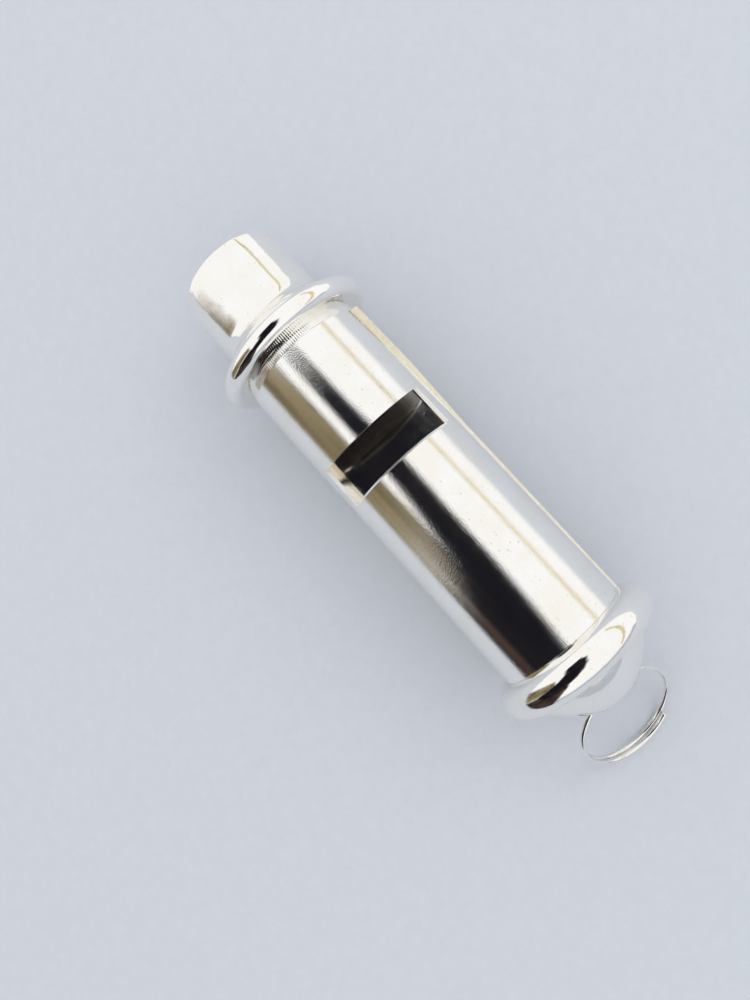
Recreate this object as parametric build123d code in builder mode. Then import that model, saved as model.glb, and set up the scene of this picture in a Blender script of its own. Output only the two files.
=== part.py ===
"""Tubular two-tone whistle: mouthpiece, barrel, wind blocks, partition, end cap and split ring.

Millimetres. The origin is the centre of the mouthpiece's open end. +X runs along the barrel to the
ring, +Z points up through the front window, and the whistle lies on its two beads.
"""
from build123d import *
import math
import os

# Barrel, rolled from sheet
barrel_dia = 19.0
barrel_wall = 0.5
barrel_length = 50.8

# Lap seam along one side, lifted into a lip at the mouthpiece end and nearly flush at the other
# Each station is a share of the barrel's length, the lip's angle from +Z and its width
lap_stations = ((0.0, 66.5, 1.1), (0.19, 73.5, 0.92), (0.41, 84.5, 0.32), (1.0, 90.0, 0.24))
lap_slope = 30.0
lap_edge = 0.4
lap_foot = 24.0

# Windows, cut straight across the barrel above and below
window_start = 14.1
window_width = 6.1
window_angle = 121.0
lip_bevel = 0.3

# Mouthpiece
mouth_dia = 16.3
mouth_bore = 11.0
mouth_length = 14.05
mouth_lip = 0.9
throat_length = 2.5
collar_step = 0.25
collar_length = 1.3
spigot_length = 3.2
spigot_wall = 0.88

# Rolled beads, one on the end cap and one on the mouthpiece, which turns in sharply to the mouth
bead_rise = 2.75
bead_width = 4.9
bead_nose = 1.1
bead_web = 2.9
neck_fillet = 0.9

# Wind blocks, partition and chamber ends
windway_height = 2.9
partition_thickness = 0.6
disc_thickness = 1.0
tone_stop_at = 36.0

# End cap: bead, steep dome with an open mouth, and the mouth's two slots that the ring passes through
cap_spigot_length = 3.0
cap_spigot_wall = 1.68
dome_inset = 0.2
dome_reach = 7.65
dome_tuck = 0.3
dome_bulge = 0.6
dome_wall = 0.5
dome_lip = 5.7
dome_fillet = 0.5
rim_round = 0.12
slot_depth = 1.7
slot_height = 4.0
slot_drop = 0.9

# Lug for the ring, a flat tab with a tenon through the end disc
lug_reach = 9.25
lug_thickness = 1.0
lug_width = 3.4
lug_hole_dia = 2.4
tenon_width = 2.4

# Split ring of round spring wire, hanging in the lug's hole with its far side on the ground
ring_dia = 15.6
ring_wire = 0.7
ring_pitch = 1.12
ring_start = -98.0
ring_lap = 122.0
ring_yaw = -9.0
ring_twist = -9.0
ring_play = 0.35
ground_gap = 0.03

# Radial gap of the soldered fits
fit_gap = 0.02

# Sizes and places that follow
barrel_radius = barrel_dia / 2
bore_radius = barrel_radius - barrel_wall
fit_radius = bore_radius - fit_gap
mouth_radius = mouth_dia / 2
plenum_radius = fit_radius - spigot_wall
collar_radius = barrel_radius - collar_step
bead_round = bead_width / 2
bead_radius = barrel_radius + bead_rise
bead_core = bead_radius - bead_round
barrel_start = mouth_length + bead_round + collar_length
barrel_end = barrel_start + barrel_length
block_start = barrel_start + spigot_length
window_near = barrel_start + window_start
window_far = window_near + window_width
window_floor = barrel_radius * math.cos(math.radians(window_angle / 2))
block_height = bore_radius - windway_height
disc_end = barrel_end - cap_spigot_length
disc_start = disc_end - disc_thickness
end_bead = barrel_end + bead_round
dome_radius = barrel_radius - dome_inset
dome_mouth = dome_radius - dome_lip
cap_bore = fit_radius - cap_spigot_wall
lug_hole_x = barrel_end + lug_reach
ring_radius = ring_dia / 2
half_plate = partition_thickness / 2


def on_circle(radius, degrees):
    """A point of the YZ plane, at an angle from +Z towards +Y."""
    turn = math.radians(degrees)
    return radius * math.sin(turn), radius * math.cos(turn)


def bead_reach(radius):
    """How far a bead's flank stands from its middle at a radius."""
    drop = min(abs(radius - bead_core), bead_round)
    return max(bead_web / 2, math.sqrt(bead_round**2 - drop**2))


# Mouthpiece: mouth tube, bead, toothed collar and spigot, with the wind's way through it
with BuildPart() as mouthpiece:
    with BuildSketch() as section:
        with Locations((mouth_length, bead_core)):
            Circle(bead_round)
        with Locations((mouth_length, 0)):
            Rectangle(
                bead_width, bead_radius, align=(Align.MIN, Align.MIN), mode=Mode.INTERSECT
            )
        with Locations((mouth_length, bead_radius - bead_nose)):
            Circle(bead_nose)
            Rectangle(bead_nose, bead_radius - bead_nose, align=(Align.MAX, Align.MAX))
        Rectangle(mouth_length, mouth_radius, align=(Align.MIN, Align.MIN))
        with Locations((mouth_length, 0)):
            Rectangle(barrel_start - mouth_length, collar_radius, align=(Align.MIN, Align.MIN))
        with Locations((mouth_length, 0)):
            Rectangle(block_start - mouth_length, fit_radius, align=(Align.MIN, Align.MIN))
        neck_x = mouth_length - bead_nose
        neck = section.vertices().sort_by_distance(Vector(neck_x, mouth_radius))[0]
        fillet(neck, min(neck_fillet, bead_round / 2))
        rim = section.vertices().sort_by_distance(Vector(0, mouth_radius))[0]
        fillet(rim, min(mouth_lip, 0.9 * (mouth_radius - mouth_bore / 2)))
        with BuildLine():
            Polyline(
                (0, 0),
                (0, mouth_bore / 2),
                (mouth_length - throat_length, mouth_bore / 2),
                (mouth_length, plenum_radius),
                (block_start, plenum_radius),
                (block_start, 0),
                close=True,
            )
        make_face(mode=Mode.SUBTRACT)
    revolve(axis=Axis.X)
mouthpiece.part.label = "mouthpiece"

# Barrel: tube, lap seam that lifts towards the mouthpiece, and the two windows
with BuildPart() as barrel:
    with BuildSketch(Plane.YZ.offset(barrel_start)):
        Circle(barrel_radius)
    extrude(amount=barrel_length)
    for share, lap_angle, lap_width in lap_stations:
        crease = Vector(*on_circle(barrel_radius, lap_angle))
        lip = crease + Vector(lap_width, -lap_width * math.tan(math.radians(lap_slope)))
        buried = barrel_radius - barrel_wall / 2
        with BuildSketch(Plane.YZ.offset(barrel_start + share * barrel_length)):
            with BuildLine():
                Polyline(
                    on_circle(buried, lap_angle),
                    crease,
                    lip,
                    lip - Vector(0, lap_edge),
                    on_circle(barrel_radius - fit_gap, lap_angle + lap_foot),
                    on_circle(buried, lap_angle + lap_foot),
                    close=True,
                )
            make_face()
    loft(ruled=True)
    with BuildSketch(Plane.YZ.offset(barrel_start)):
        Circle(bore_radius)
    extrude(amount=barrel_length, mode=Mode.SUBTRACT)
    for side in (1, -1):
        with Locations(((window_near + window_far) / 2, 0, side * barrel_radius)):
            window_height = 2 * (barrel_radius - window_floor)
            Box(window_width, barrel_dia, window_height, mode=Mode.SUBTRACT)
    sounding_edges = (
        barrel.edges()
        .filter_by(GeomType.CIRCLE)
        .filter_by(lambda edge: abs(edge.radius - barrel_radius) < barrel_wall / 2)
        .filter_by(lambda edge: abs(edge.center().X - window_far) < barrel_wall / 2)
        .filter_by(lambda edge: abs((edge @ 0.5).Z) > window_floor)
    )
    chamfer(sounding_edges, lip_bevel)
barrel.part.label = "barrel"

# Front wind block: a half-round plug whose flat leaves a slot of wind under the barrel wall
with BuildPart() as front_fipple_block:
    with BuildSketch(Plane.YZ.offset(block_start)):
        Circle(fit_radius)
        with Locations((0, (block_height + half_plate) / 2)):
            Rectangle(barrel_dia, block_height - half_plate, mode=Mode.INTERSECT)
    extrude(amount=window_near - block_start)
front_fipple_block.part.label = "front_fipple_block"

# Rear wind block: the same plug under the rear window
with BuildPart() as rear_fipple_block:
    mirror(front_fipple_block.part, about=Plane.XY)
rear_fipple_block.part.label = "rear_fipple_block"

# Partition: flat plate between the two chambers
with BuildPart() as partition:
    with BuildSketch(Plane.YZ.offset(block_start)):
        Circle(fit_radius)
        Rectangle(barrel_dia, partition_thickness, mode=Mode.INTERSECT)
    extrude(amount=disc_start - block_start)
partition.part.label = "partition"

# Tone stop: half-round plate that shortens the rear chamber
with BuildPart() as tone_stop:
    with BuildSketch(Plane.YZ.offset(barrel_start + tone_stop_at)):
        Circle(fit_radius)
        with Locations((0, -half_plate)):
            Rectangle(barrel_dia, barrel_dia, align=(Align.CENTER, Align.MAX), mode=Mode.INTERSECT)
    extrude(amount=disc_thickness)
tone_stop.part.label = "tone_stop"

# End disc: closes both chambers and holds the lug's tenon
with BuildPart() as end_disc:
    with BuildSketch(Plane.YZ.offset(disc_start)):
        Circle(fit_radius)
        Rectangle(lug_thickness + 2 * fit_gap, tenon_width + 2 * fit_gap, mode=Mode.SUBTRACT)
    extrude(amount=disc_thickness)
end_disc.part.label = "end_disc"

# End cap: spigot, bead and a hollow dome that springs from the bead's flank
dome_foot = Vector(end_bead + bead_round - dome_tuck, dome_radius)
dome_tip = Vector(end_bead + dome_reach, dome_mouth)
dome_chord = dome_tip - dome_foot
dome_out = Vector(-dome_chord.Y, dome_chord.X).normalized()
dome_crown = dome_foot + dome_chord * 0.5 + dome_out * dome_bulge
hollow_foot = dome_foot - dome_out * dome_wall
hollow_tip = dome_tip - dome_out * dome_wall
hollow_share = (hollow_foot.Y - cap_bore) / (hollow_foot.Y - hollow_tip.Y)
with BuildPart() as end_cap:
    with BuildSketch() as section:
        with Locations((disc_end, 0)):
            Rectangle(end_bead - disc_end, fit_radius, align=(Align.MIN, Align.MIN))
        with Locations((end_bead, bead_core)):
            Circle(bead_round)
            Rectangle(bead_web, bead_core, align=(Align.CENTER, Align.MAX))
        with BuildLine():
            Polyline(dome_tip, (dome_tip.X, 0), (end_bead, 0), (end_bead, dome_radius), dome_foot)
            ThreePointArc(dome_foot, dome_crown, dome_tip)
        make_face()
        crease_x = end_bead + bead_reach(dome_radius)
        crease = section.vertices().sort_by_distance(Vector(crease_x, dome_radius))[0]
        fillet(crease, dome_fillet)
        with BuildLine():
            Polyline(
                (disc_end, 0),
                (disc_end, cap_bore),
                hollow_foot + (hollow_tip - hollow_foot) * hollow_share,
                hollow_tip,
                (hollow_tip.X, 0),
                close=True,
            )
        make_face(mode=Mode.SUBTRACT)
        with Locations((end_bead, 0)):
            Rectangle(
                2 * dome_reach, dome_mouth, align=(Align.MIN, Align.MIN), mode=Mode.SUBTRACT
            )
        rim = section.vertices().sort_by_distance(dome_tip)[0]
        fillet(rim, rim_round)
    revolve(axis=Axis.X)
    with Locations((dome_tip.X, 0, -slot_drop)):
        Box(2 * slot_depth, 2 * bead_radius, slot_height, mode=Mode.SUBTRACT)
end_cap.part.label = "end_cap"

# Lug: tab with a round nose and a hole, and a tenon through the end disc
with BuildPart() as ring_lug:
    with BuildSketch(Plane.XZ):
        with Locations((disc_end, 0)):
            Rectangle(lug_hole_x - disc_end, lug_width, align=(Align.MIN, Align.CENTER))
        with Locations((lug_hole_x, 0)):
            Circle(lug_width / 2)
        with Locations((disc_start, 0)):
            Rectangle(disc_thickness, tenon_width, align=(Align.MIN, Align.CENTER))
        with Locations((lug_hole_x, 0)):
            Circle(lug_hole_dia / 2, mode=Mode.SUBTRACT)
    extrude(amount=lug_thickness / 2, both=True)
ring_lug.part.label = "ring_lug"

# Split ring: a little over one turn of wire that rises by a pitch each turn
pivot = Vector(lug_hole_x, 0, -(lug_hole_dia / 2 - ring_wire / 2 - ring_play))
yaw = math.radians(ring_yaw)
twist = math.radians(ring_twist)
ring_sweep = 360.0 + ring_lap
pivot_turn = 360.0 + ring_start
rise_per_radian = ring_pitch / (2 * math.pi)


def ring_axes(dip):
    """Directions from the pivot to the ring's centre, across the ring and square to it."""
    away = Vector(math.cos(dip) * math.cos(yaw), math.sin(yaw), -math.sin(dip) * math.cos(yaw))
    level = (Vector(0, 1, 0) - away * away.Y).normalized()
    upright = away.cross(level)
    across = level * math.cos(twist) + upright * math.sin(twist)
    normal = upright * math.cos(twist) - level * math.sin(twist)
    return away, across, normal


def ring_point(turn, axes):
    """Centre of the wire after a turn in degrees from its lower end."""
    away, across, normal = axes
    angle = math.radians(ring_start - turn)
    rise = rise_per_radian * math.radians(turn - pivot_turn)
    spoke = away * (1 - math.cos(angle)) + across * math.sin(angle)
    return pivot + spoke * ring_radius + normal * rise


def ring_heading(turn, axes):
    """Direction of the wire at that turn."""
    away, across, normal = axes
    angle = math.radians(ring_start - turn)
    along = away * -math.sin(angle) - across * math.cos(angle)
    return (along * ring_radius + normal * rise_per_radian).normalized()


def wire_points(axes):
    """Centres of the wire, a degree apart."""
    return [ring_point(turn, axes) for turn in range(int(ring_sweep) + 1)]


def add_biarc(turn_from, turn_to, axes):
    """Two tangent arcs between two places on the wire."""
    begin, end = ring_point(turn_from, axes), ring_point(turn_to, axes)
    head, tail = ring_heading(turn_from, axes), ring_heading(turn_to, axes)
    chord = end - begin
    bend = 2 * (1 - head.dot(tail))
    lean = chord.dot(head + tail)
    reach = (math.sqrt(lean**2 + bend * chord.dot(chord)) - lean) / bend
    joint = (begin + end + (head - tail) * reach) * 0.5
    TangentArc(begin, joint, tangent=head)
    TangentArc(joint, end, tangent=joint - begin - head * reach)


# The ring dips until its far side lies on the ground that the beads stand on
lowest_wire = ring_wire / 2 + ground_gap - bead_radius
shallow, steep = 0.0, math.pi / 2
for _ in range(30):
    ring_dip = (shallow + steep) / 2
    if min(point.Z for point in wire_points(ring_axes(ring_dip))) > lowest_wire:
        shallow = ring_dip
    else:
        steep = ring_dip
rest_axes = ring_axes(ring_dip)

ring_spans = math.ceil(ring_sweep / 90)
with BuildPart() as split_ring:
    with BuildLine() as ring_path:
        for span in range(ring_spans):
            add_biarc(
                ring_sweep * span / ring_spans, ring_sweep * (span + 1) / ring_spans, rest_axes
            )
    with BuildSketch(Plane(origin=ring_path.line @ 0, z_dir=ring_path.line % 0)):
        Circle(ring_wire / 2)
    sweep(path=ring_path.wires()[0])
split_ring.part.label = "split_ring"

wire = wire_points(rest_axes)
closest = min((near - far).length for at, near in enumerate(wire) for far in wire[at + 180 :])
print(f"least gap of the ring's wire to itself {closest - ring_wire:.2f} mm")
print(f"ring dips {math.degrees(ring_dip):.2f} degrees, pivot {pivot}")
print(f"lowest point of the ring {split_ring.part.bounding_box().min.Z:.3f} mm")
wire_volume = ring_path.wires()[0].length * math.pi * (ring_wire / 2) ** 2
print(f"ring volume {split_ring.part.volume:.2f}, section times length {wire_volume:.2f} mm3")

os.makedirs("parts", exist_ok=True)
export_step(mouthpiece.part, "parts/mouthpiece.step")
export_step(barrel.part, "parts/barrel.step")
export_step(front_fipple_block.part, "parts/front_fipple_block.step")
export_step(rear_fipple_block.part, "parts/rear_fipple_block.step")
export_step(partition.part, "parts/partition.step")
export_step(tone_stop.part, "parts/tone_stop.step")
export_step(end_disc.part, "parts/end_disc.step")
export_step(end_cap.part, "parts/end_cap.step")
export_step(ring_lug.part, "parts/ring_lug.step")
export_step(split_ring.part, "parts/split_ring.step")
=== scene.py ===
import math

import bpy
from mathutils import Matrix, Vector, noise


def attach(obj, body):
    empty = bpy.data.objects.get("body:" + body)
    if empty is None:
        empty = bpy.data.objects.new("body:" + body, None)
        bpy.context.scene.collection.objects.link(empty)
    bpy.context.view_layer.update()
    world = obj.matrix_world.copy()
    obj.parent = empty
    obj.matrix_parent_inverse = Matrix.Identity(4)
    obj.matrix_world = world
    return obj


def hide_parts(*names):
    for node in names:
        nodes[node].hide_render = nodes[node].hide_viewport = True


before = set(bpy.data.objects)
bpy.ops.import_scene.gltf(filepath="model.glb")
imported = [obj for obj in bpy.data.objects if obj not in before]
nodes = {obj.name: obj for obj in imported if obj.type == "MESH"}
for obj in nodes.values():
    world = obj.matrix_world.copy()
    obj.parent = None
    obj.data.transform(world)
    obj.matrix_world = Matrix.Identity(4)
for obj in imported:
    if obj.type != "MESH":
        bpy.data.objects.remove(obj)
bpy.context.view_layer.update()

# Lengths below are in millimetres, and angles in degrees
MM = 0.001
FLOOR_Z = -12.25
SHARP = 40

# Sizes of the part, along the barrel's axis and out from it
BARREL_R, BORE_R = 9.5, 9.0
BARREL_X0, BARREL_X1 = 17.8, 68.6
WINDOW_X0, WINDOW_X1, WINDOW_HALF = 31.9, 38.0, 60.5
BEVEL = 0.3
BEAD_R, BEAD_CORE = 2.45, 9.8
BEAD_TOP = BEAD_CORE + BEAD_R
MOUTH_BEAD_X, CAP_BEAD_X = 14.05, 71.05
TUBE_R, TUBE_LIP = 8.15, 0.9
CREST_X, CREST_R, FLARE_R, FLARE_SLOPE = 14.7, 1.5, 3.0, 55.0
TUBE_BORE_R, PLENUM_R, SPIGOT_R, COLLAR_R = 5.5, 8.1, 8.98, 9.25
THROAT = 2.5
SPIGOT_END, CAP_START, CAP_BORE = 21.0, 65.6, 7.3
DOME_FOOT, DOME_TIP = Vector((73.2, 9.3)), Vector((78.7, 3.6))
DOME_BULGE, DOME_WALL, CREASE, DOME_RIM = 0.6, 0.5, 0.5, 0.12
SLOT_X, SLOT_LOW, SLOT_HIGH = 77.0, -2.9, 1.1


def lerp_table(x, table):
    """Straight-line value between the table's places."""
    for (xa, a), (xb, b) in zip(table, table[1:]):
        if x <= xb:
            return a + (b - a) * max(0.0, (x - xa) / (xb - xa))
    return table[-1][1]


def smooth(t):
    """A soft step from 0 to 1."""
    t = min(1.0, max(0.0, t))
    return t * t * (3 - 2 * t)


def arc(cx, cr, radius, start, end, count):
    """Points of an arc in the (x, r) half plane, angles from +x."""
    turns = [math.radians(start + (end - start) * i / count) for i in range(count + 1)]
    return [(cx + radius * math.cos(t), cr + radius * math.sin(t)) for t in turns]


def line(a, b, step):
    """Points from a to b, about a step apart."""
    count = max(1, round(math.dist(a, b) / step))
    return [
        (a[0] + (b[0] - a[0]) * i / count, a[1] + (b[1] - a[1]) * i / count)
        for i in range(count + 1)
    ]


def joined(*runs):
    """One list of points with repeats dropped."""
    points = []
    for run in runs:
        for p in run:
            if not points or math.dist(p, points[-1]) > 1e-4:
                points.append(p)
    return points


def mesh_object(name, verts, faces, sharp=SHARP):
    """An object in the scene from points in millimetres, smooth up to the sharp angle."""
    mesh = bpy.data.meshes.new(name)
    mesh.from_pydata([Vector(v) * MM for v in verts], [], faces)
    mesh.validate()
    mesh.update()
    mesh.shade_smooth()
    if sharp:
        mesh.set_sharp_from_angle(angle=math.radians(sharp))
    obj = bpy.data.objects.new(name, mesh)
    bpy.context.scene.collection.objects.link(obj)
    return obj


def dent(place, size, depth, seed):
    """A smooth hollow, from nothing to depth, that differs from place to place."""
    wave = noise.noise(Vector(place) / size + Vector((seed, -seed, 2 * seed)))
    return -depth * (0.5 + 0.5 * wave)


def lathe(name, profile, depth_at, size, seed, segments=288):
    """Turns a closed outline of (x, r) points about the X axis, with dents of a depth that x sets."""
    verts = []
    for x, r in profile:
        depth = depth_at(x)
        for k in range(segments):
            t = 2 * math.pi * k / segments
            y, z = math.sin(t), math.cos(t)
            rr = r + dent((x, r * y, r * z), size, depth, seed)
            verts.append((x, rr * y, rr * z))
    faces = []
    rows = len(profile)
    for i in range(rows):
        a, b = i * segments, ((i + 1) % rows) * segments
        for k in range(segments):
            m = (k + 1) % segments
            faces.append((a + k, b + k, b + m, a + m))
    return mesh_object(name, verts, faces)


# Camera: the photograph's place, height and lens
CAMERA_PLACE = (51.48, 5.48, 101.17)
CAMERA_BACK, CAMERA_RIGHT = (0.1264, 0.1154, 0.9852), (0.6644, 0.7277, -0.1704)
back = Vector(CAMERA_BACK).normalized()
right = Vector(CAMERA_RIGHT)
right = (right - back * right.dot(back)).normalized()
up = back.cross(right)
cam_data = bpy.data.cameras.new("camera")
cam_data.sensor_width = 36.0
cam_data.lens = 26.737
cam_data.clip_start, cam_data.clip_end = 0.002, 20.0
camera = bpy.data.objects.new("camera", cam_data)
bpy.context.scene.collection.objects.link(camera)
camera_turn = Matrix((right, up, back)).transposed().to_4x4()
camera.matrix_world = Matrix.Translation(Vector(CAMERA_PLACE) * MM) @ camera_turn
bpy.context.scene.camera = camera

# Mouthpiece: mouth tube that flares up to the bead, and collar
ALL_OVER_DENT, NECK_DENT, EDGE_DENT = 0.03, 0.27, 0.08
NECK_SPREAD, EDGE_SPREAD = 1.6, 0.9
slope = math.radians(FLARE_SLOPE)
crest_rise = BEAD_TOP - CREST_R
brow = (CREST_X - CREST_R * math.sin(slope), crest_rise + CREST_R * math.cos(slope))
foot_r = TUBE_R + FLARE_R * (1 - math.cos(slope))
foot_x = brow[0] - (brow[1] - foot_r) / math.tan(slope)
flare_x = foot_x - FLARE_R * math.sin(slope)
collar_turn = math.degrees(math.asin((COLLAR_R - BEAD_CORE) / BEAD_R))
collar_x = MOUTH_BEAD_X + BEAD_R * math.cos(math.radians(collar_turn))
throat_x = MOUTH_BEAD_X - THROAT
mouth_profile = joined(
    line((0.0, TUBE_BORE_R), (0.0, TUBE_R - TUBE_LIP), step=0.45),
    arc(TUBE_LIP, TUBE_R - TUBE_LIP, TUBE_LIP, 180, 90, count=20),
    line((TUBE_LIP, TUBE_R), (flare_x, TUBE_R), step=0.45),
    arc(flare_x, TUBE_R + FLARE_R, FLARE_R, -90, FLARE_SLOPE - 90, count=18),
    line((foot_x, foot_r), brow, step=0.2),
    arc(CREST_X, crest_rise, CREST_R, 90 + FLARE_SLOPE, 0, count=56),
    line((CREST_X + CREST_R, crest_rise), (collar_x, COLLAR_R), step=0.2),
    line((collar_x, COLLAR_R), (BARREL_X0, COLLAR_R), step=0.4),
    line((BARREL_X0, SPIGOT_R), (SPIGOT_END, SPIGOT_R), step=0.8),
    line((SPIGOT_END, PLENUM_R), (MOUTH_BEAD_X, PLENUM_R), step=0.8),
    line((MOUTH_BEAD_X, PLENUM_R), (throat_x, TUBE_BORE_R), step=0.6),
    line((throat_x, TUBE_BORE_R), (0.0, TUBE_BORE_R), step=0.6),
)[:-1]


def mouth_dents(x):
    """Dents are deepest at the neck, and at the mouth's edge that knocks against things."""
    neck = math.exp(-(((x - foot_x) / NECK_SPREAD) ** 2))
    edge = math.exp(-(((x - TUBE_LIP) / EDGE_SPREAD) ** 2))
    return ALL_OVER_DENT + NECK_DENT * neck + EDGE_DENT * edge


mouthpiece = lathe("mouthpiece_plated", mouth_profile, mouth_dents, size=1.6, seed=3.1)


# End cap: bead, crease and a steep dome whose open mouth is slotted at both sides
CAP_DENT = 0.035


def heading_of(v):
    """A direction's angle from +x, from 0 to 360."""
    return math.degrees(math.atan2(v.y, v.x)) % 360


def circles_meet(a, a_radius, b, b_radius):
    """Where two circles cross, on the right of the way from a to b."""
    way = (b - a).normalized()
    gap = (b - a).length
    along = (a_radius**2 - b_radius**2 + gap**2) / (2 * gap)
    aside = math.sqrt(a_radius**2 - along**2)
    return a + way * along + Vector((way.y, -way.x)) * aside


def cut_box(obj, low, high):
    """Takes a box out of an object's mesh."""
    xs, ys, zs = zip(low, high)
    corners = [(x, y, z) for x in xs for y in ys for z in zs]
    sides = [(0, 1, 3, 2), (4, 6, 7, 5), (0, 4, 5, 1), (2, 3, 7, 6), (0, 2, 6, 4), (1, 5, 7, 3)]
    cutter = mesh_object("slot_cutter", corners, sides, sharp=0)
    cut = obj.modifiers.new("slot", "BOOLEAN")
    cut.operation, cut.solver, cut.object = "DIFFERENCE", "EXACT", cutter
    bpy.context.view_layer.update()
    shaped = obj.evaluated_get(bpy.context.evaluated_depsgraph_get())
    whole, slotted = obj.data, bpy.data.meshes.new_from_object(shaped)
    obj.modifiers.clear()
    obj.data = slotted
    slotted.set_sharp_from_angle(angle=math.radians(SHARP))
    bpy.data.objects.remove(cutter)
    bpy.data.meshes.remove(whole)


dome_chord = DOME_TIP - DOME_FOOT
dome_out = Vector((-dome_chord.y, dome_chord.x)).normalized()
dome_r = (dome_chord.length**2 / 4 + DOME_BULGE**2) / (2 * DOME_BULGE)
dome_centre = DOME_FOOT + dome_chord / 2 - dome_out * (dome_r - DOME_BULGE)
bead_centre = Vector((CAP_BEAD_X, BEAD_CORE))
crease = circles_meet(dome_centre, dome_r + CREASE, bead_centre, BEAD_R + CREASE)
to_bead, to_dome = heading_of(bead_centre - crease), heading_of(dome_centre - crease)
mouth_r = DOME_TIP.y
rim_rise = mouth_r + DOME_RIM - dome_centre.y
rim = dome_centre + Vector((math.sqrt((dome_r - DOME_RIM) ** 2 - rim_rise**2), rim_rise))
to_rim = heading_of(rim - dome_centre)
spigot_turn = 180 + math.degrees(math.asin((BEAD_CORE - SPIGOT_R) / BEAD_R))
spigot_x = CAP_BEAD_X + BEAD_R * math.cos(math.radians(spigot_turn))


def hollow_at(r):
    """The point of the dome's inside at a distance from the axis."""
    share = (DOME_FOOT.y - dome_out.y * DOME_WALL - r) / -dome_chord.y
    return tuple(DOME_FOOT - dome_out * DOME_WALL + dome_chord * share)


cap_profile = joined(
    line((CAP_START, CAP_BORE), (CAP_START, SPIGOT_R), step=0.5),
    line((CAP_START, SPIGOT_R), (spigot_x, SPIGOT_R), step=0.8),
    arc(CAP_BEAD_X, BEAD_CORE, BEAD_R, spigot_turn, to_bead - 180, count=84),
    arc(crease.x, crease.y, CREASE, to_bead, to_dome, count=14),
    arc(dome_centre.x, dome_centre.y, dome_r, to_dome - 180, to_rim, count=36),
    arc(rim.x, rim.y, DOME_RIM, to_rim, -90, count=8),
    line((rim.x, mouth_r), hollow_at(mouth_r), step=0.25),
    line(hollow_at(mouth_r), hollow_at(CAP_BORE), step=0.4),
    line(hollow_at(CAP_BORE), (CAP_START, CAP_BORE), step=0.8),
)[:-1]
end_cap = lathe("end_cap_plated", cap_profile, lambda x: CAP_DENT, size=3.6, seed=7.7)
cut_box(end_cap, (SLOT_X, -BEAD_TOP, SLOT_LOW), (DOME_TIP.x + 2, BEAD_TOP, SLOT_HIGH))


# Barrel: rolled sheet with a lap lip, two windows and a bevelled sounding edge
LAP_ANGLE = ((17.8, 66.5), (27.45, 73.5), (38.63, 84.5), (68.6, 90.0))
LAP_WIDTH = ((17.8, 1.1), (27.45, 0.92), (38.63, 0.32), (68.6, 0.24))
LAP_FOOT, LAP_SLOPE, LAP_EDGE, LAP_TUCK = 24.0, 30.0, 0.38, 0.04
SLOT_BOW, SLOT_REACH = 0.42, 3.5
WINDOW_INNER = math.degrees(math.acos(math.cos(math.radians(WINDOW_HALF)) * BARREL_R / BORE_R))
BEVEL_DEPTH = BEVEL * 0.9
BARREL_DENT, BARREL_DENT_SIZE, BARREL_SEED = 0.03, 6.0, 5.3
ROW_GAP, EDGE_ROUND, EDGE_ANGLE = 0.42, 0.07, 50


def polar(radius, degrees):
    """The (y, z) point at an angle from +Z towards +Y."""
    t = math.radians(degrees)
    return radius * math.sin(t), radius * math.cos(t)


def spread(a, b, count):
    """Even steps from a, short of b."""
    return [a + (b - a) * i / count for i in range(count)]


def barrel_columns(x):
    """Outer and inner (y, z) points round the barrel at x, with each point's place name."""
    ridge_angle = lerp_table(x, LAP_ANGLE)
    foot_angle = ridge_angle + LAP_FOOT
    width = lerp_table(x, LAP_WIDTH)
    ridge = polar(BARREL_R, ridge_angle)
    tip = (ridge[0] + width, ridge[1] - width * math.tan(math.radians(LAP_SLOPE)))
    under = (tip[0] - LAP_TUCK, tip[1] - LAP_EDGE)
    foot = polar(BARREL_R, foot_angle)
    out, inn, tags = [], [], []

    def run(a, b, count, tag, inner):
        for d, e in zip(spread(a, b, count), spread(*inner, count)):
            out.append(polar(BARREL_R, d))
            inn.append(polar(BORE_R, e))
            tags.append(tag)

    outer, inner = WINDOW_HALF, WINDOW_INNER
    run(-180, outer - 180, 36, "rear", (-180, inner - 180))
    run(outer - 180, -outer, 34, "left", (inner - 180, -inner))
    run(-outer, outer, 72, "front", (-inner, inner))
    run(outer, ridge_angle, 10, "right", (inner, ridge_angle))
    lap = [
        (a, b, i / count)
        for a, b, count in ((ridge, tip, 6), (tip, under, 4), (under, foot, 8))
        for i in range(count)
    ]
    for i, (a, b, s) in enumerate(lap):
        out.append((a[0] + (b[0] - a[0]) * s, a[1] + (b[1] - a[1]) * s))
        inn.append(polar(BORE_R, ridge_angle + LAP_FOOT * i / len(lap)))
        tags.append("lap")
    run(foot_angle, 180 - outer, 14, "low", (foot_angle, 180 - inner))
    run(180 - outer, 180, 36, "rear", (180 - inner, 180))
    return out, inn, tags


def barrel_rows():
    """Places along the barrel, with rows at the window's ends and at the bevel's."""
    rows = [x for x, _ in line((BARREL_X0, 0), (WINDOW_X0, 0), ROW_GAP)]
    rows += [x for x, _ in line((WINDOW_X0, 0), (WINDOW_X1, 0), ROW_GAP)][1:]
    rows += [x for x, _ in line((WINDOW_X1 + BEVEL, 0), (BARREL_X1, 0), ROW_GAP)]
    return rows


def slot_bow(x, y, z):
    """How far the slot's edge is bowed into the window, most at the middle of the window."""
    if not WINDOW_X0 - SLOT_REACH < x <= WINDOW_X0:
        return 0.0
    side = math.degrees(math.atan2(abs(y), abs(z))) / WINDOW_HALF
    near = smooth((x - WINDOW_X0 + SLOT_REACH) / SLOT_REACH)
    return SLOT_BOW * near * max(0.0, 1 - side * side)


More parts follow.
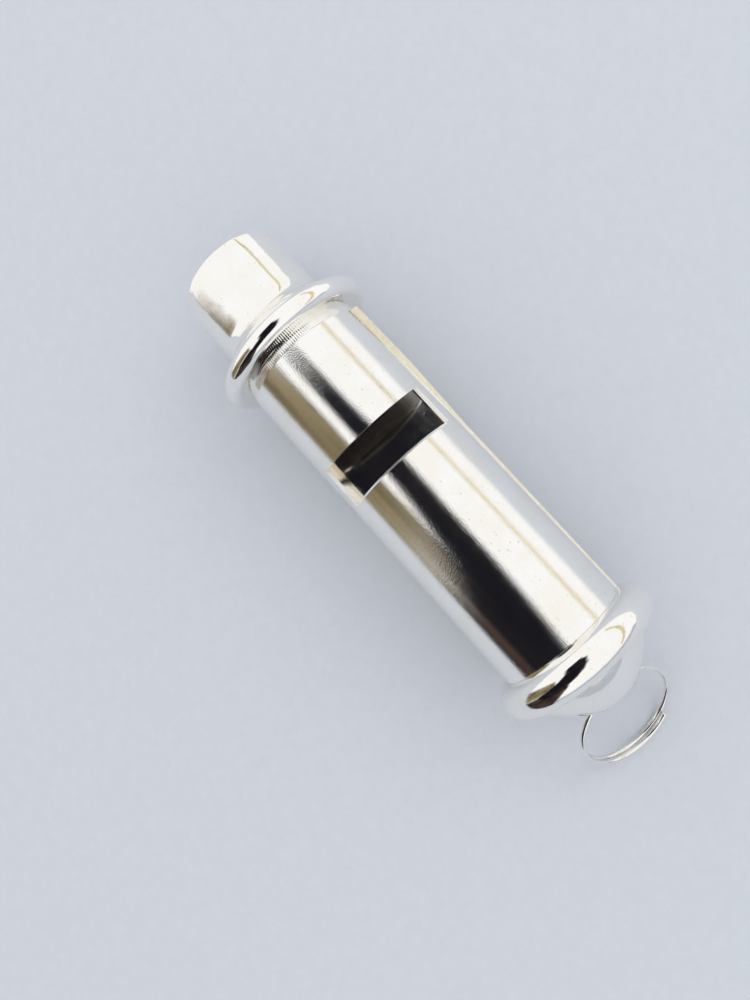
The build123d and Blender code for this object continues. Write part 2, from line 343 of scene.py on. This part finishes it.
def make_barrel():
    """The barrel's sheet, whose filed window sides carry the attribute cut."""
    rows = barrel_rows()
    verts, outer, inner = [], [], []
    for x in rows:
        out, inn, tags = barrel_columns(x)
        row_out, row_in = [], []
        for j, ((oy, oz), (iy, iz)) in enumerate(zip(out, inn)):
            push = dent((x, oy, oz), BARREL_DENT_SIZE, BARREL_DENT, BARREL_SEED)
            in_window = tags[j] == tags[j - 1] and tags[j] in ("front", "rear")
            if abs(x - WINDOW_X1) < 1e-6 and in_window:
                push -= BEVEL_DEPTH
            scale = 1 + push / math.hypot(oy, oz)
            along = x + slot_bow(x, oy, oz)
            row_out.append(len(verts))
            verts.append((along, oy * scale, oz * scale))
            row_in.append(len(verts))
            verts.append((along, iy, iz))
        outer.append(row_out)
        inner.append(row_in)
    count = len(tags)

    def kept(i, j):
        if i < 0 or i >= len(rows) - 1:
            return False
        middle = (rows[i] + rows[i + 1]) / 2
        return not (WINDOW_X0 < middle < WINDOW_X1 and tags[j % count] in ("front", "rear"))

    faces, cuts = [], []
    for i in range(len(rows) - 1):
        for j in range(count):
            if not kept(i, j):
                continue
            k = (j + 1) % count
            faces.append((outer[i][j], outer[i + 1][j], outer[i + 1][k], outer[i][k]))
            faces.append((inner[i][j], inner[i][k], inner[i + 1][k], inner[i + 1][j]))
            if not kept(i - 1, j):
                faces.append((outer[i][j], outer[i][k], inner[i][k], inner[i][j]))
            if not kept(i + 1, j):
                a, b = outer[i + 1], inner[i + 1]
                faces.append((a[j], b[j], b[k], a[k]))
            if not kept(i, j - 1):
                cuts.append((outer[i][j], inner[i][j], inner[i + 1][j], outer[i + 1][j]))
            if not kept(i, j + 1):
                cuts.append((outer[i][k], outer[i + 1][k], inner[i + 1][k], inner[i][k]))
    obj = mesh_object("barrel_plated", verts, faces + cuts, sharp=34)
    cut = obj.data.attributes.new("cut", "FLOAT", "FACE")
    cut.data.foreach_set("value", [0.0] * len(faces) + [1.0] * len(cuts))
    bevel = obj.modifiers.new("edges", "BEVEL")
    bevel.width = EDGE_ROUND * MM
    bevel.segments = 3
    bevel.limit_method = "ANGLE"
    bevel.angle_limit = math.radians(EDGE_ANGLE)
    bevel.harden_normals = True
    return obj


barrel = make_barrel()


# Split ring: round wire, a little over one turn
RING_R, WIRE_R, RING_PITCH = 7.76, 0.39, 0.84
RING_START, RING_TURNS = -98.0, 482.0
RING_DIP, RING_YAW, RING_TWIST = 44.26, -9.0, -9.0
RING_PIVOT = Vector((77.85, 0.0, -0.5))
# Each end is rounded off: turn from the end, and share of the wire's radius
WIRE_ENDS = [(0.0, 0.62), (0.35, 0.86), (0.9, 1.0)]
dip, yaw, twist = (math.radians(a) for a in (RING_DIP, RING_YAW, RING_TWIST))
away = Vector((math.cos(dip) * math.cos(yaw), math.sin(yaw), -math.sin(dip) * math.cos(yaw)))
level = (Vector((0, 1, 0)) - away * away.y).normalized()
upright = away.cross(level)
across = level * math.cos(twist) + upright * math.sin(twist)
ring_up = upright * math.cos(twist) - level * math.sin(twist)


def wire_at(turn):
    """Centre and heading of the wire after a turn from its lower end."""
    a = math.radians(RING_START - turn)
    rise = RING_PITCH / 360 * (turn - 360 - RING_START)
    spoke = away * (1 - math.cos(a)) + across * math.sin(a)
    centre = RING_PIVOT + spoke * RING_R + ring_up * rise
    heading = away * -math.sin(a) - across * math.cos(a)
    heading = heading * RING_R + ring_up * RING_PITCH / (2 * math.pi)
    return centre, heading.normalized()


def make_ring(sides=24, step=2.0):
    """The wire as a tube along its coil."""
    verts, faces = [], []
    count = int(RING_TURNS / step)
    stations = WIRE_ENDS + [(step * i, 1.0) for i in range(1, count)]
    stations += [(RING_TURNS - d, s) for d, s in reversed(WIRE_ENDS)]
    for turn, share in stations:
        centre, heading = wire_at(turn)
        side = heading.cross(ring_up).normalized()
        top = side.cross(heading)
        for k in range(sides):
            t = 2 * math.pi * k / sides
            verts.append(centre + (side * math.cos(t) + top * math.sin(t)) * WIRE_R * share)
    for i in range(len(stations) - 1):
        for k in range(sides):
            m = (k + 1) % sides
            a, b = i * sides, (i + 1) * sides
            faces.append((a + k, a + m, b + m, b + k))
    last = (len(stations) - 1) * sides
    faces.append(tuple(reversed(range(sides))))
    faces.append(tuple(last + k for k in range(sides)))
    return mesh_object("split_ring_wire", verts, faces, sharp=35)


ring = make_ring()


# Collar teeth: fine straight grooves between the bead and the barrel
TEETH, TOOTH_HEIGHT, TOOTH_LIFT, TOOTH_SINK = 170, 0.055, 0.005, 0.15
# Height over one tooth, then along it by place; below nothing it sinks into the collar
TOOTH_SHAPE = (0.0, 0.55, 1.0, 1.0, 0.55, 0.0)
TOOTH_ROWS = (
    (16.40, -0.3), (16.50, 0.0), (16.62, 0.8), (16.9, 1.0), (17.3, 1.0), (17.6, 0.7),
    (17.74, 0.2), (17.79, -0.5),
)


def make_teeth():
    """A toothed sleeve round the collar, worn low in places."""
    per = len(TOOTH_SHAPE)
    segments = TEETH * per
    verts, faces = [], []
    for x, share in TOOTH_ROWS:
        for k in range(segments):
            t = 2 * math.pi * k / segments
            spot = Vector((math.cos(t) * 4, math.sin(t) * 4, x * 0.8))
            wear = min(1.0, max(0.1, 0.65 + 0.9 * noise.noise(spot)))
            height = TOOTH_HEIGHT * TOOTH_SHAPE[k % per] * max(0.0, share) * wear
            r = COLLAR_R + TOOTH_LIFT + height + min(0.0, share) * TOOTH_SINK
            verts.append((x, r * math.sin(t), r * math.cos(t)))
    for i in range(len(TOOTH_ROWS) - 1):
        for k in range(segments):
            m = (k + 1) % segments
            a, b = i * segments, (i + 1) * segments
            faces.append((a + k, b + k, b + m, a + m))
    return mesh_object("collar_teeth", verts, faces, sharp=50)


teeth = make_teeth()


# Solder: uneven runs where the barrel meets the collar and the end cap, and along the lap's top end
def make_tube(name, stations, closed, sides=10):
    """A lumpy run of round section through (centre, side, top, radius) stations."""
    verts, faces = [], []
    for centre, side, top, radius in stations:
        for k in range(sides):
            a = 2 * math.pi * k / sides
            verts.append(centre + (side * math.cos(a) + top * math.sin(a)) * radius)
    count = len(stations)
    for i in range(count if closed else count - 1):
        j = (i + 1) % count
        for k in range(sides):
            m = (k + 1) % sides
            faces.append((i * sides + k, i * sides + m, j * sides + m, j * sides + k))
    if not closed:
        faces.append(tuple(reversed(range(sides))))
        faces.append(tuple((count - 1) * sides + k for k in range(sides)))
    return mesh_object(name, verts, faces, sharp=0)


def solder_hoop(name, x, r, size, uneven, seed, segments=480):
    """A closed run round the barrel."""
    stations = []
    for i in range(segments):
        t = 2 * math.pi * i / segments
        outward = Vector((0, math.sin(t), math.cos(t)))
        spot = outward * BARREL_R + Vector((seed, 0, 0))
        lump = noise.noise(spot * 0.9) + 0.7 * noise.noise(spot * 2.6)
        thick = size * max(0.35, 1 + uneven * lump)
        shift = size * 0.5 * noise.noise(spot * 1.6 + Vector((3, 1, 4)))
        centre = outward * r + Vector((x + shift, 0, 0))
        stations.append((centre, Vector((1, 0, 0)), outward, thick))
    return make_tube(name, stations, closed=True)


def solder_seam(name, x_from, x_to, size, seed, count=70):
    """A run along the lap's ridge that thins out towards its end."""
    stations = []
    for i in range(count):
        share = i / (count - 1)
        x = x_from + (x_to - x_from) * i / (count - 1)
        angle = lerp_table(x, LAP_ANGLE) - 1.0
        angle += 1.3 * noise.noise(Vector((x * 1.9, seed, 0.0)))
        y, z = polar(BARREL_R + 0.01, angle)
        fade = 1 - 0.75 * smooth(share)
        thick = size * fade * max(0.4, 1 + 0.8 * noise.noise(Vector((x * 3.1, 0.0, seed))))
        outward = Vector((0, *polar(1.0, angle)))
        stations.append((Vector((x, y, z)), outward.cross(Vector((1, 0, 0))), outward, thick))
    return make_tube(name, stations, closed=False)


solder_top = solder_hoop("solder_collar", x=17.82, r=9.3, size=0.11, uneven=0.9, seed=2.0)
solder_end = solder_hoop("solder_cap", x=68.6, r=9.37, size=0.1, uneven=0.6, seed=9.0)
solder_lap = solder_seam("solder_lap", x_from=17.9, x_to=24.5, size=0.17, seed=5.0)


# Materials
def new_material(name):
    mat = bpy.data.materials.new(name)
    mat.use_nodes = True
    tree = mat.node_tree
    return mat, tree, tree.nodes["Principled BSDF"]


def add(tree, kind, **inputs):
    """A node with plain values on its sockets."""
    node = tree.nodes.new(kind)
    for key, value in inputs.items():
        node.inputs[key].default_value = value
    return node


def math_node(tree, operation, a, b):
    """A Math node on sockets or plain numbers."""
    node = tree.nodes.new("ShaderNodeMath")
    node.operation = operation
    for socket, value in zip(node.inputs, (a, b)):
        if isinstance(value, (int, float)):
            socket.default_value = value
        else:
            tree.links.new(value, socket)
    return node.outputs[0]


def noise_at(tree, coords, scale, detail, rough, warp=0.0):
    node = add(
        tree, "ShaderNodeTexNoise", Scale=scale, Detail=detail, Roughness=rough, Distortion=warp
    )
    tree.links.new(coords, node.inputs["Vector"])
    return node.outputs["Fac"]


def stretched(tree, coords, along):
    """Coordinates squeezed along X, for marks that run along the barrel."""
    node = add(tree, "ShaderNodeMapping", Scale=(along, 1.0, 1.0))
    tree.links.new(coords, node.inputs["Vector"])
    return node.outputs["Vector"]


def ramp(tree, value, stops):
    node = tree.nodes.new("ShaderNodeValToRGB")
    elements = node.color_ramp.elements
    for element, (place, colour) in zip(elements, stops):
        element.position = place
        element.color = (*colour, 1.0)
    tree.links.new(value, node.inputs["Fac"])
    return node.outputs["Color"]


def mixed(tree, amount, a, b):
    """Colour a turned into colour b by an amount."""
    node = tree.nodes.new("ShaderNodeMix")
    node.data_type = "RGBA"
    tree.links.new(amount, node.inputs["Factor"])
    tree.links.new(a, node.inputs["A"])
    node.inputs["B"].default_value = (*b, 1.0)
    return node.outputs["Result"]


def grey(v):
    return (v, v, v)


# A speck's share of the plate's colour, its added roughness, and the hair scratches' share of the bump
SPECK_TINT, SPECK_ROUGH, HAIR_SHARE = (0.52, 0.48, 0.42), 0.25, 0.25


def plated(name, tone, warm, rough, grain, grain_scale, peel, pits, cut_rough=0.0):
    """Plate with smudged gloss, soft hollows, fine grain, hair scratches, dull specks, rough cuts."""
    mat, tree, bsdf = new_material(name)
    links = tree.links
    coords = tree.nodes.new("ShaderNodeTexCoord").outputs["Object"]
    cloud = noise_at(tree, coords, scale=240.0, detail=4.0, rough=0.6)
    smear = noise_at(
        tree, stretched(tree, coords, 0.45), scale=900.0, detail=5.0, rough=0.65, warp=0.6
    )
    hairs = noise_at(tree, stretched(tree, coords, 0.12), scale=5200.0, detail=2.0, rough=0.5)
    dots = noise_at(tree, coords, scale=2400.0, detail=2.0, rough=0.5)
    specks = ramp(tree, dots, [(0.26, grey(1.0)), (0.32, grey(0.0))])
    colour = ramp(tree, cloud, [(0.32, warm), (0.60, tone)])
    worn = tuple(c * f for c, f in zip(tone, SPECK_TINT))
    colour = mixed(tree, math_node(tree, "MULTIPLY", specks, pits), colour, worn)
    links.new(colour, bsdf.inputs["Base Color"])
    gloss = ramp(tree, smear, [(0.35, grey(rough[0])), (0.75, grey(rough[1]))])
    scuff = math_node(tree, "MULTIPLY", specks, SPECK_ROUGH * pits)
    dull = math_node(tree, "ADD", gloss, scuff)
    bsdf.inputs["Metallic"].default_value = 1.0
    if cut_rough:
        cut = tree.nodes.new("ShaderNodeAttribute")
        cut.attribute_name = "cut"
        filed = math_node(tree, "MULTIPLY", cut.outputs["Fac"], cut_rough)
        dull = math_node(tree, "ADD", dull, filed)
        links.new(math_node(tree, "SUBTRACT", 1.0, filed), bsdf.inputs["Metallic"])
    links.new(dull, bsdf.inputs["Roughness"])
    fine = noise_at(tree, coords, scale=grain_scale, detail=1.0, rough=0.5)
    orange = noise_at(tree, coords, scale=900.0, detail=1.0, rough=0.4)
    height = math_node(tree, "ADD", fine, math_node(tree, "MULTIPLY", orange, peel))
    height = math_node(tree, "ADD", height, math_node(tree, "MULTIPLY", hairs, HAIR_SHARE))
    bump = add(tree, "ShaderNodeBump", Strength=1.0, Distance=grain * MM)
    links.new(height, bump.inputs["Height"])
    links.new(bump.outputs["Normal"], bsdf.inputs["Normal"])
    return mat


NICKEL, NICKEL_WARM = (0.95, 0.94, 0.915), (0.93, 0.90, 0.84)
polished = plated(
    "nickel_polished", NICKEL, NICKEL_WARM,
    rough=(0.05, 0.11), grain=0.0025, grain_scale=3000.0, peel=3.0, pits=0.35,
)
grained = plated(
    "nickel_barrel", NICKEL, NICKEL_WARM,
    rough=(0.08, 0.14), grain=0.0135, grain_scale=5600.0, peel=0.12, pits=0.5, cut_rough=0.5,
)
wire_plate = plated(
    "ring_plate", tone=(0.90, 0.895, 0.88), warm=(0.85, 0.83, 0.79),
    rough=(0.07, 0.16), grain=0.003, grain_scale=5000.0, peel=0.8, pits=0.4,
)
inner_plate = plated(
    "inner_plate", tone=(0.84, 0.82, 0.78), warm=(0.78, 0.72, 0.62),
    rough=(0.07, 0.14), grain=0.0012, grain_scale=3600.0, peel=2.0, pits=0.45,
)
solder_metal = plated(
    "solder_tin", tone=(0.72, 0.70, 0.64), warm=(0.62, 0.54, 0.38),
    rough=(0.16, 0.36), grain=0.012, grain_scale=3800.0, peel=1.0, pits=0.8,
)
brass = plated(
    "inner_brass", tone=(0.70, 0.58, 0.33), warm=(0.52, 0.41, 0.22),
    rough=(0.22, 0.42), grain=0.008, grain_scale=4200.0, peel=1.0, pits=0.8,
)


def dress(obj, mat):
    """Gives an object one material."""
    obj.data.materials.clear()
    obj.data.materials.append(mat)


for obj, mat, slot, body in (
    (mouthpiece, polished, "polished_nickel", "whistle"),
    (end_cap, polished, "polished_nickel", "whistle"),
    (barrel, grained, "barrel_nickel", "whistle"),
    (teeth, polished, "polished_nickel", "whistle"),
    (solder_top, solder_metal, "barrel_nickel", "whistle"),
    (solder_end, solder_metal, "barrel_nickel", "whistle"),
    (solder_lap, solder_metal, "barrel_nickel", "whistle"),
    (ring, wire_plate, "ring_steel", "ring"),
):
    dress(obj, mat)
    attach(obj, body)
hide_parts("mouthpiece")
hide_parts("end_cap")
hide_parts("barrel")
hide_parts("split_ring")
for node, mat in (
    ("partition", inner_plate),
    ("front_fipple_block", inner_plate),
    ("rear_fipple_block", inner_plate),
    ("tone_stop", brass),
    ("end_disc", brass),
    ("ring_lug", polished),
):
    dress(nodes[node], mat)


# Stage: pale floor, soft light, and soft-edged cards that only the plate's gloss sees
FLOOR_REACH = 3000.0
FLOOR_TONES = (0.575, 0.61, 0.67), (0.60, 0.635, 0.695)
floor_mat, floor_tree, floor_bsdf = new_material("floor")
floor_coords = floor_tree.nodes.new("ShaderNodeTexCoord").outputs["Object"]
floor_noise = noise_at(floor_tree, floor_coords, scale=700.0, detail=4.0, rough=0.6)
floor_colour = ramp(floor_tree, floor_noise, [(0.3, FLOOR_TONES[0]), (0.7, FLOOR_TONES[1])])
floor_tree.links.new(floor_colour, floor_bsdf.inputs["Base Color"])
floor_bsdf.inputs["Roughness"].default_value = 0.9
floor_corners = [
    (x * FLOOR_REACH, y * FLOOR_REACH, FLOOR_Z) for x, y in ((-1, -1), (1, -1), (1, 1), (-1, 1))
]
floor = mesh_object("floor", floor_corners, [(0, 1, 2, 3)], sharp=0)
dress(floor, floor_mat)


def reach_in(x, y, outline):
    """How far a point lies inside an outline; below nothing outside it."""
    inside, nearest = False, math.inf
    for (ax, ay), (bx, by) in zip(outline, outline[1:] + outline[:1]):
        ex, ey = bx - ax, by - ay
        t = min(1.0, max(0.0, ((x - ax) * ex + (y - ay) * ey) / (ex * ex + ey * ey)))
        nearest = min(nearest, math.hypot(x - ax - ex * t, y - ay - ey * t))
        if (ay > y) != (by > y) and x < ax + (y - ay) / ey * ex:
            inside = not inside
    return nearest if inside else -nearest


def card_material(name, colours):
    """Patchy matt paint that is clear where the attribute cover is nothing."""
    mat = bpy.data.materials.new(name)
    mat.use_nodes = True
    tree = mat.node_tree
    tree.nodes.clear()
    coords = tree.nodes.new("ShaderNodeTexCoord").outputs["Object"]
    cover = tree.nodes.new("ShaderNodeAttribute")
    cover.attribute_name = "cover"
    paint = tree.nodes.new("ShaderNodeBsdfDiffuse")
    patches = noise_at(tree, coords, scale=14.0, detail=3.0, rough=0.6)
    colour = ramp(tree, patches, [(0.38, colours[0]), (0.62, colours[1])])
    tree.links.new(colour, paint.inputs["Color"])
    clear = tree.nodes.new("ShaderNodeBsdfTransparent")
    blend = tree.nodes.new("ShaderNodeMixShader")
    tree.links.new(cover.outputs["Fac"], blend.inputs[0])
    tree.links.new(clear.outputs[0], blend.inputs[1])
    tree.links.new(paint.outputs[0], blend.inputs[2])
    output = tree.nodes.new("ShaderNodeOutputMaterial")
    tree.links.new(blend.outputs[0], output.inputs["Surface"])
    return mat


def soft_card(name, origin, along, outline, soft, colours, step):
    """A card that fades out at its outline: level, or upright on a line along the floor."""
    low = [min(p[i] for p in outline) - soft for i in range(2)]
    high = [max(p[i] for p in outline) + soft for i in range(2)]
    counts = [math.ceil((b - a) / step) for a, b in zip(low, high)]
    origin = Vector(origin)
    across = Vector((1, 0, 0)) if along is None else Vector((*along, 0)).normalized()
    rise = Vector((0, 1, 0)) if along is None else Vector((0, 0, 1))
    verts, covers, faces = [], [], []
    for i in range(counts[0] + 1):
        for j in range(counts[1] + 1):
            u, v = low[0] + step * i, low[1] + step * j
            verts.append(origin + across * u + rise * v)
            covers.append(smooth(0.5 + reach_in(u, v, outline) / (2 * soft)))
            if i < counts[0] and j < counts[1]:
                k = i * (counts[1] + 1) + j
                faces.append((k, k + counts[1] + 1, k + counts[1] + 2, k + 1))
    obj = mesh_object(name, verts, faces, sharp=0)
    obj.data.attributes.new("cover", "FLOAT", "POINT").data.foreach_set("value", covers)
    dress(obj, card_material(name, colours))
    obj.visible_camera = False
    obj.visible_shadow = False
    obj.visible_diffuse = False


DARK = ((0.012, 0.012, 0.017), (0.035, 0.026, 0.025))
BROWN = ((0.018, 0.016, 0.018), (0.09, 0.055, 0.045))
TAN = ((0.15, 0.12, 0.065), (0.36, 0.29, 0.17))
CREAM = ((0.75, 0.64, 0.34), (0.89, 0.79, 0.48))
PALE = ((0.55, 0.585, 0.64), (0.61, 0.645, 0.70))
OVERHEAD = [
    (-16, -46), (-16, 4), (8, 8), (12, 16), (32, 16), (40, 12), (60, 12), (88, -4),
    (110, -30), (150, -120), (150, -320), (57, -320), (50, -135), (41, -77), (24, -50),
]
BODY = [(-130, -60), (130, -60), (110, 260), (-110, 260)]
SIDE = [(-150, -60), (64, -60), (64, 320), (-150, 320)]
STRIP = [(-400, -19), (400, -19), (400, 19), (-400, 19)]
FAR = [(-900, -40), (900, -40), (900, 112), (-900, 112)]
soft_card("overhead_card", (0, 0, 106), None, OVERHEAD, soft=6, colours=DARK, step=4)
soft_card("body_card", (172, -232, 50), (0.891, 0.454), BODY, soft=16, colours=BROWN, step=8)
soft_card("tan_card", (-10, -330, 50), (1, 0), SIDE, soft=36, colours=TAN, step=12)
soft_card("warm_strip", (45, 300, 165), (1, 0), STRIP, soft=7, colours=CREAM, step=6)
soft_card("horizon_card", (560, 0, 0), (0, 1), FAR, soft=34, colours=PALE, step=12)

world = bpy.data.worlds.new("world")
world.use_nodes = True
sky = world.node_tree.nodes["Background"]
sky.inputs["Color"].default_value = (1.0, 1.0, 1.0, 1.0)
sky.inputs["Strength"].default_value = 1.0
bpy.context.scene.world = world

KEY_PLACE, KEY_TARGET = Vector((45, 420, 420)), Vector((45, 0, 0))
KEY_SIDE, KEY_POWER = 300, 0.33
key_data = bpy.data.lights.new("key", "AREA")
key_data.shape = "RECTANGLE"
key_data.size = key_data.size_y = KEY_SIDE * MM
key_data.energy = KEY_POWER
key = bpy.data.objects.new("key", key_data)
bpy.context.scene.collection.objects.link(key)
key.location = KEY_PLACE * MM
key.rotation_mode = "QUATERNION"
key.rotation_quaternion = (KEY_TARGET - KEY_PLACE).to_track_quat("-Z", "Y")
key.visible_glossy = False

bpy.context.scene.view_settings.view_transform = "Standard"
